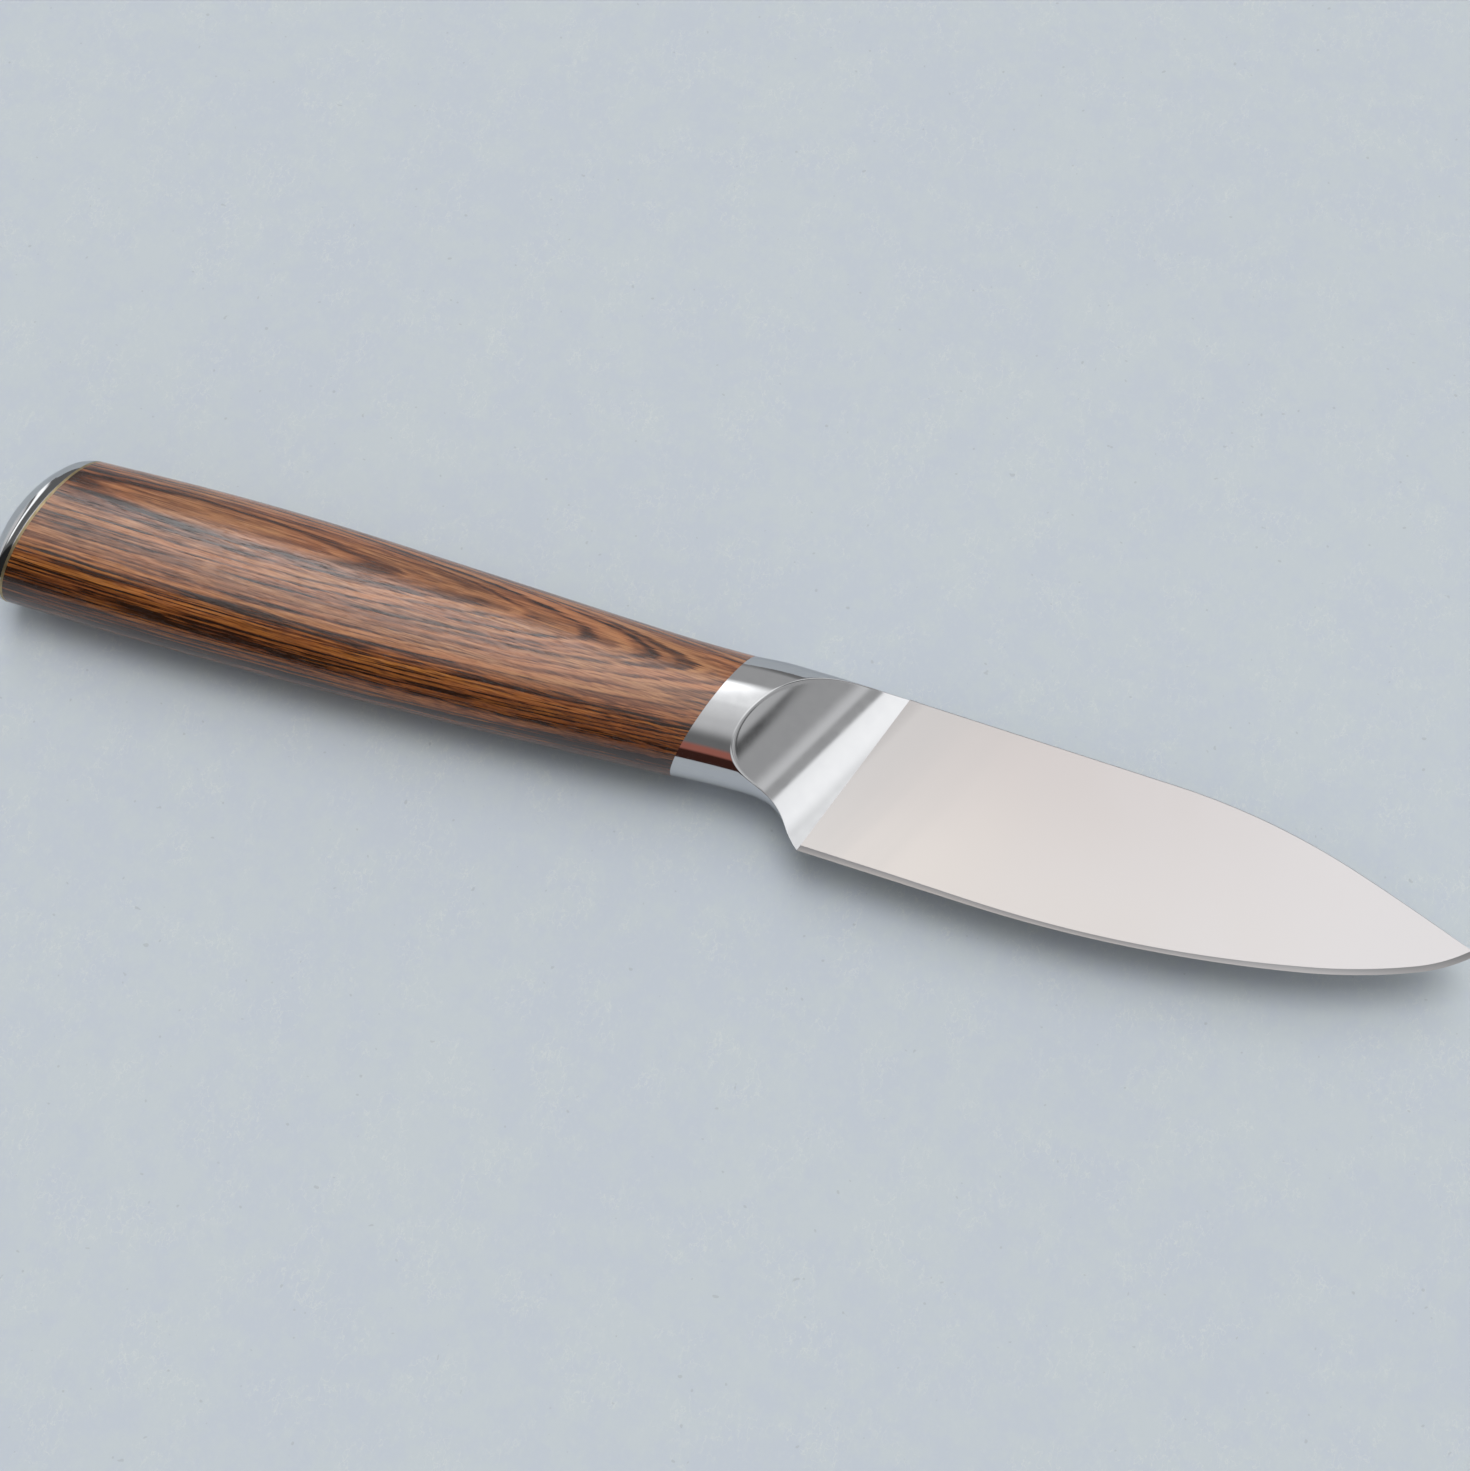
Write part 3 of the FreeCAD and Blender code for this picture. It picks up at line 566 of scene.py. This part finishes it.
def tidy_mesh(piece):
    """Welds doubles, drops faces without area and turns all faces outwards."""
    body = bmesh.new()
    body.from_mesh(piece.data)
    bmesh.ops.remove_doubles(body, verts=body.verts, dist=WELD)
    bmesh.ops.dissolve_degenerate(body, edges=body.edges, dist=WELD)
    bmesh.ops.recalc_face_normals(body, faces=body.faces)
    body.to_mesh(piece.data)
    body.free()


def shade(piece, angle):
    """Smooth shading with crisp edges where faces meet at more than an angle."""
    piece.data.polygons.foreach_set("use_smooth", [True] * len(piece.data.polygons))
    piece.data.set_sharp_from_angle(angle=math.radians(angle))


def oval_skin(name, rows, sides, material, crowd=0.0):
    """A closed piece skinned over a run of ovals; crowd draws their points to top and bottom."""
    centres, rises, halves = (np.array(column) for column in zip(*rows))
    mesh = bpy.data.meshes.new(name + "_stations")
    mesh.from_pydata([tuple(point) for point in in_frame(centres)], [], [])
    mesh.attributes.new("rise", "FLOAT_VECTOR", "POINT").data.foreach_set("vector", (rises * MM).ravel())
    mesh.attributes.new("half_width", "FLOAT", "POINT").data.foreach_set("value", halves * MM)
    source = add_object(name + "_source", mesh)
    skin = source.modifiers.new("skin", "NODES")
    skin.node_group = SKIN_TREE
    for socket, value in (("Sides", sides), ("Crowd", crowd), ("Weld", WELD), ("Finish", material)):
        skin[SKIN_SOCKETS[socket]] = value
    piece = plain_copy(source, name)
    tidy_mesh(piece)
    return piece


def closed_mesh(name, points, faces, material, bevel=None):
    """A piece from points and faces; bevel may say for each face how far up the sharpened bevel it is."""
    mesh = bpy.data.meshes.new(name)
    mesh.from_pydata(
        [tuple(point) for point in in_frame(points)], [], [tuple(map(int, face)) for face in faces])
    mesh.materials.append(material)
    if bevel is not None:
        mesh.attributes.new("bevel", "FLOAT", "FACE").data.foreach_set("value", bevel)
    piece = add_object(name, mesh)
    tidy_mesh(piece)
    return piece


def cut(piece, cutters, name):
    """Takes cutters out of a piece, removes them and cleans the cut mesh."""
    for cutter in cutters:
        modifier = piece.modifiers.new("cut", "BOOLEAN")
        modifier.operation, modifier.solver, modifier.object = "DIFFERENCE", "EXACT", cutter
    piece = plain_copy(piece, name)
    for cutter in cutters:
        bpy.data.objects.remove(cutter)
    tidy_mesh(piece)
    return piece


def cheek_height(x, y):
    """Half the blade's thickness at a place, with the hollow that rises out of it towards the grip."""
    flat = HEEL_THICK / 2 - CHEEK_FALL * (x - HEEL[0]) + CHEEK_RISE * (y - HEEL[1])
    across = (x - HEEL[0]) * math.cos(HOLLOW_LEAN) - (y - HEEL[1]) * math.sin(HOLLOW_LEAN)
    reach = np.clip(-(across + HOLLOW_BAND), 0.0, HOLLOW_RADIUS)
    return flat + HOLLOW_RADIUS - np.sqrt(HOLLOW_RADIUS ** 2 - reach ** 2)


def bar_cutter(name, rear, front, margin, material):
    """The tang's flat bar with a margin all round."""
    low = np.array([rear, -TANG_DROP - TANG_HEIGHT / 2 - margin, -TANG_THICK / 2 - margin])
    high = np.array([front, -TANG_DROP + TANG_HEIGHT / 2 + margin, TANG_THICK / 2 + margin])
    corners = [[x, y, z] for x in (low[0], high[0]) for y in (low[1], high[1]) for z in (low[2], high[2])]
    faces = [(0, 1, 3, 2), (4, 6, 7, 5), (0, 4, 5, 1), (2, 3, 7, 6), (0, 2, 6, 4), (1, 5, 7, 3)]
    return closed_mesh(name, corners, faces, material)


def round_cutter(name, rear, front, radius, material):
    """A round bore along the axis."""
    rows = [
        (np.array([x, 0.0, 0.0]), np.array([0.0, share * radius, 0.0]), share * radius)
        for x, share in ((rear, 0.0), (rear, 1.0), (front, 1.0), (front, 0.0))]
    return oval_skin(name, rows, 96, material)


def tangent_arc(start, heading, end, count):
    """Points on the arc that leaves a point in a heading and ends at another, and its last heading."""
    chord = end - start
    half_turn = math.atan2(chord[1], chord[0]) - heading
    half_turn = math.atan2(math.sin(half_turn), math.cos(half_turn))
    radius = np.hypot(*chord) / (2 * math.sin(half_turn))
    turn = np.linspace(0.0, half_turn, count)
    reach = 2 * radius * np.sin(turn)
    points = start + np.stack([reach * np.cos(heading + turn), reach * np.sin(heading + turn)], -1)
    return points, heading + 2 * half_turn


def run(points, count):
    """A line through points, read at even steps."""
    lengths = np.concatenate([[0.0], np.cumsum(np.hypot(*np.diff(points, axis=0).T))])
    steps = np.linspace(0.0, lengths[-1], count)
    return np.stack([np.interp(steps, lengths, points[:, axis]) for axis in (0, 1)], -1)


def edge_line():
    """The cutting edge from the heel to the tip, and its heading there."""
    straight_end = HEEL + np.array([EDGE_STRAIGHT * EDGE_LENGTH, 0.0])
    belly = np.array([HEEL[0] + EDGE_BELLY[0] * EDGE_LENGTH, EDGE_BELLY[1] * HEEL[1]])
    fore = np.array([HEEL[0] + EDGE_FORE[0] * EDGE_LENGTH, EDGE_FORE[1] * HEEL[1]])
    first, heading = tangent_arc(straight_end, 0.0, belly, 160)
    second, heading = tangent_arc(belly, heading, fore, 80)
    third, heading = tangent_arc(fore, heading, TIP, 60)
    return np.concatenate([[HEEL], first, second[1:], third[1:]]), heading


def spine_line():
    """The spine from the seam to the tip."""
    seam_lean = math.tan(math.radians(FRONT_SLANT))
    top = np.array([HEEL[0] + (SPINE_HEIGHT - HEEL[1]) * seam_lean, SPINE_HEIGHT])
    bend = np.array([HEEL[0] + SPINE_BEND[0] * EDGE_LENGTH, SPINE_BEND[1] * SPINE_HEIGHT])
    fall = np.array([HEEL[0] + SPINE_FALL[0] * EDGE_LENGTH, SPINE_FALL[1] * SPINE_HEIGHT])
    first, heading = tangent_arc(bend, math.atan2(*(bend - top)[::-1]), fall, 120)
    second, _ = tangent_arc(fall, heading, TIP, 80)
    return np.concatenate([[top], first, second[1:]])


def ground_blade(material):
    """The blade: flat ground cheeks, a thin sharpened bevel and the start of the bolster's hollow."""
    along, bevel_rows, cheek_rows = 260, 4, 46
    overrun, edge_samples, halvings, batches = 5.0, 2600, 24, 12
    edge, heading = edge_line()
    lead = overrun * np.array([math.cos(heading), math.sin(heading)])
    sharp = run(np.concatenate([[HEEL - [overrun, 0.0]], edge, [TIP + lead]]), edge_samples)
    low, high = run(edge, along), run(spine_line(), along)

    def bevel_height(points):
        """Height of the sharpened bevel over the middle plane."""
        gaps = points[:, None, :] - sharp[None, :, :]
        slope = np.maximum(BEVEL_SLOPE, cheek_height(points[:, 0], points[:, 1]) / BEVEL_WIDEST)
        return slope * np.sqrt((gaps ** 2).sum(-1).min(1))

    # Where bevel and cheek meet on each line from edge to spine, found by halving
    near, far = np.zeros(along), np.ones(along)
    for _ in range(halvings):
        middle = (near + far) / 2
        spot = low + middle[:, None] * (high - low)
        below = bevel_height(spot) < cheek_height(spot[:, 0], spot[:, 1])
        near, far = np.where(below, middle, near), np.where(below, far, middle)
    crest = far
    shares = [crest * i / bevel_rows for i in range(bevel_rows)]
    ease = np.minimum(SPINE_EASE / np.maximum(np.hypot(*(high - low).T), 1e-6), 0.2) * (1 - crest)
    shares += [crest + (1 - crest - ease) * i / cheek_rows for i in range(cheek_rows + 1)]
    shares.append(np.ones(along))
    shares = np.stack(shares, 1)
    spots = low[:, None, :] + shares[..., None] * (high - low)[:, None, :]
    flat = spots.reshape(-1, 2)
    height = np.concatenate([
        np.minimum(bevel_height(part), cheek_height(part[:, 0], part[:, 1]))
        for part in np.array_split(flat, batches)])
    height = height.reshape(along, -1)

    # Both sides meet in the edge and at the tip, and the spine's edges are eased
    height[:, 0] = height[-1] = 0.0
    height[:, -1] -= np.minimum(SPINE_EASE, 0.4 * height[:, -1])
    upper = np.concatenate([flat, height.reshape(-1, 1)], 1)
    lower = upper * [1.0, 1.0, -1.0]
    rows, columns = shares.shape
    top = np.arange(rows * columns).reshape(rows, columns)
    under = top + rows * columns
    faces, bevel = [], []
    for i in range(rows - 1):
        for j in range(columns - 1):
            faces.append((top[i, j], top[i + 1, j], top[i + 1, j + 1], top[i, j + 1]))
            faces.append((under[i, j], under[i, j + 1], under[i + 1, j + 1], under[i + 1, j]))
            bevel += [(j + 1) / bevel_rows if j < bevel_rows else 0.0] * 2
        faces.append((top[i, -1], top[i + 1, -1], under[i + 1, -1], under[i, -1]))
        bevel.append(0.0)
    for j in range(columns - 1):
        faces.append((top[0, j], top[0, j + 1], under[0, j + 1], under[0, j]))
        bevel.append(0.0)
    piece = closed_mesh("ground_blade", np.concatenate([upper, lower]), faces, material, bevel)
    shade(piece, 8)
    return piece


def grind_hollows(mesh):
    """Grinds cheeks and hollows into the collar's oval, with eased edges, and marks them for their polish."""
    points = np.empty(3 * len(mesh.vertices))
    mesh.vertices.foreach_get("co", points)
    x, y, z = ((points.reshape(-1, 3) - SHIFT) / MM).T
    oval, ground = np.abs(z), cheek_height(x, y)
    ease = np.minimum(HOLLOW_EASE, 0.8 * ground)
    near = np.clip(1 - np.abs(oval - ground) / ease, 0.0, 1.0)
    height = np.minimum(oval, ground) - near ** 2 * ease / 4
    mesh.vertices.foreach_set("co", in_frame(np.stack([x, y, np.sign(z) * height], -1)).ravel())
    hollow = np.clip(0.5 + (oval - ground) / ease, 0.0, 1.0)
    mesh.attributes.new("hollow", "FLOAT", "POINT").data.foreach_set("value", hollow)


def polished_bolster(material):
    """The collar behind the blade, hollowed on both sides, with a socket for the tang."""
    rows = [bolster_station(0.0, 0.0)]
    rows += [bolster_station(share) for share in np.linspace(0.0, 1.0, 200)]
    rows.append(bolster_station(1.0, 0.0))
    blank = oval_skin("bolster_blank", rows, 288, material, crowd=0.35)
    grind_hollows(blank.data)
    piece = cut(blank, [bar_cutter("socket", -2.0, SOCKET_DEPTH, 0.0, material)], "polished_bolster")
    shade(piece, 28)
    return piece


def wood_grip(material):
    """The oval grip, slotted for the tang and bored for the nut."""
    rows = [grip_station(0.0, 0.0)]
    rows += [grip_station(behind) for behind in np.linspace(0.0, WOOD_LENGTH, 190)]
    rows.append(grip_station(WOOD_LENGTH, 0.0))
    blank = oval_skin("grip_blank", rows, 192, material)
    cutters = [
        bar_cutter("slot", RECESS_FLOOR + 2.0, 12.0, BOND_GAP, material),
        round_cutter("tail_hole", RECESS_FLOOR - 1.0, RECESS_FLOOR + 4.0, TAIL_HOLE_RADIUS, material),
        round_cutter("recess", -WOOD_LENGTH - 12.0, RECESS_FLOOR, RECESS_RADIUS, material)]
    piece = cut(blank, cutters, "wood_grip")
    shade(piece, 25)
    return piece


def domed_cap(material):
    """Polished cap over the butt."""
    piece = oval_skin("domed_cap", cap_stations(48), 192, material)
    shade(piece, 20)
    return piece


# Pieces

WOOD, SATIN, POLISHED = lacquered_wood(), satin_steel(), polished_steel()
for piece, node, slot in (
        (ground_blade(SATIN), "blade", "satin_steel"),
        (polished_bolster(POLISHED), "bolster", "polished_steel"),
        (wood_grip(WOOD), "handle", "lacquered_wood"),
        (domed_cap(POLISHED), "end_cap", "polished_steel")):
    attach(piece, "root")
    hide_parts(node)

TANG, EPOXY, BRASS = tang_steel(), epoxy(), liner_brass()
for node, material in (
        ("tang", TANG), ("tang_washer", TANG), ("tang_nut", TANG),
        ("tang_bond", EPOXY), ("butt_liner", BRASS)):
    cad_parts[node].material_slots[0].material = material

# Floor, light and camera


def floor():
    """The board that the knife lies on."""
    low, high = -FLOOR_REACH, FLOOR_REACH
    mesh = bpy.data.meshes.new("floor")
    mesh.from_pydata([(low, low, 0), (high, low, 0), (high, high, 0), (low, high, 0)], [], [(0, 1, 2, 3)])
    mesh.materials.append(pale_floor())
    add_object("floor", mesh)


def studio():
    """Soft studio: a wide white panel overhead, brightest over the grip, with paler and darker walls around."""
    world = bpy.data.worlds.new("studio")
    bpy.context.scene.world = world
    world.use_nodes = True
    board = Board(world.node_tree)
    world.node_tree.nodes.clear()
    x, y, _ = board.split(board.node("ShaderNodeTexCoord", output="Generated"))

    # The panel overhead, which fades to the front and stops short at the back right
    panel = 0.45 * board.step(y, -0.62, -0.28) + 0.55 * board.step(y, -0.30, 0.25)
    panel = panel * board.step(y, 0.78, 0.64)
    back_right = board.step(y, 0.30, 0.55) * board.step(x, 0.10, 0.35)
    brightest = board.step(x, -0.21, -0.30) * board.step(y, 0.28, 0.50)
    over_grip = board.band(x, -0.40, -0.33, -0.18, -0.10) * (1.95 + brightest)
    lift = board.math("MAXIMUM", 0.40 * board.step(x, -0.10, 0.12), 0.16 * board.step(y, 0.18, 0.30))
    over_blade = board.band(x, -0.22, -0.12, 0.37, 0.405) * (0.42 + lift)

    # Smaller panels, dim gaps and walls all round
    side_panel = board.band(x, 0.49, 0.54, 0.56, 0.68)
    dim_gap = board.band(x, 0.83, 0.89, 0.91, 0.95) * board.step(y, -0.128, -0.146)
    pale_end = board.step(x, 0.925, 0.945)
    rear_strip = board.band(x, -0.86, -0.82, -0.77, -0.72) * board.step(y, -0.35, -0.10)
    rear = board.step(x, -0.36, -0.42)
    grip_front = board.step(y, -0.38, -0.62) * board.step(x, -0.07, -0.13)
    front, low_front = board.step(y, -0.42, -0.70), board.step(y, -0.91, -0.965)
    low_back = board.step(y, 0.97, 0.99)
    walls = board.step(y, 0.72, 0.82) * board.step(x, 0.04, 0.10)
    walls = walls + board.step(y, -0.58, -0.74) * board.step(x, 0.05, 0.11)
    walls = walls + board.step(x, -0.87, -0.93)

    level = STUDIO_LEVEL + (over_grip + over_blade) * panel * (1.0 - back_right)
    for brightness, patch in (
            (0.28, side_panel), (-0.30, dim_gap), (0.12, pale_end), (1.3, rear_strip), (-0.25, rear),
            (-0.3, grip_front), (-0.22, front), (-0.22, low_front), (0.5, walls), (-0.2, low_back),
            (-0.3, back_right)):
        level = level + brightness * patch
    ruddy = board.step(y, -0.78, -0.86) * board.step(abs(x + 0.02), 0.06, 0.04)
    tint = board.blend(ruddy, (0.98, 0.99, 1.0, 1.0), (2.1, 0.75, 0.58, 1.0))
    light = board.vector("SCALE", tint, Scale=board.math("MAXIMUM", level, STUDIO_LEAST))
    seen = board.node("ShaderNodeLightPath", output="Is Camera Ray")
    shown = board.blend(seen, light, (0.40, 0.44, 0.47, 1.0))
    background = board.node("ShaderNodeBackground", None, {"Color": shown, "Strength": STUDIO_STRENGTH})
    output = world.node_tree.nodes.new("ShaderNodeOutputWorld")
    world.node_tree.links.new(background.socket, output.inputs["Surface"])


def key_lamp():
    """A large soft lamp overhead, which sets the shadow; the studio stands for it in gloss."""
    light = bpy.data.lights.new("key_lamp", "AREA")
    light.shape, light.size, light.energy = "SQUARE", LAMP_SIZE, LAMP_POWER
    lamp = bpy.data.objects.new("key_lamp", light)
    bpy.context.scene.collection.objects.link(lamp)
    lamp.location = LAMP_PLACE
    lamp.rotation_euler = (-lamp.location).to_track_quat("-Z", "Y").to_euler()
    lamp.visible_glossy = False


def camera():
    """The view: from above and in front of the edge, in a square frame that crops both ends."""
    turn, tilt = math.radians(CAMERA_TURN), math.radians(CAMERA_TILT)
    back = Vector((math.sin(turn) * math.cos(tilt), -math.cos(turn) * math.cos(tilt), math.sin(tilt)))
    right = Vector((math.cos(turn), math.sin(turn), 0.0))
    lens = bpy.data.cameras.new("camera")
    lens.sensor_fit, lens.sensor_width = "HORIZONTAL", SENSOR_WIDTH
    lens.lens = SENSOR_WIDTH * FOCAL_PIXELS / IMAGE_PIXELS
    lens.clip_start, lens.clip_end = 0.01, 50.0
    made = bpy.data.objects.new("camera", lens)
    bpy.context.scene.collection.objects.link(made)
    aim = Vector(in_frame(CAMERA_AIM))
    turned = Matrix((right, back.cross(right), back)).transposed()
    made.matrix_world = Matrix.Translation(aim + CAMERA_DISTANCE * MM * back) @ turned.to_4x4()
    bpy.context.scene.camera = made


floor()
studio()
key_lamp()
camera()
bpy.context.scene.view_settings.view_transform = "Standard"
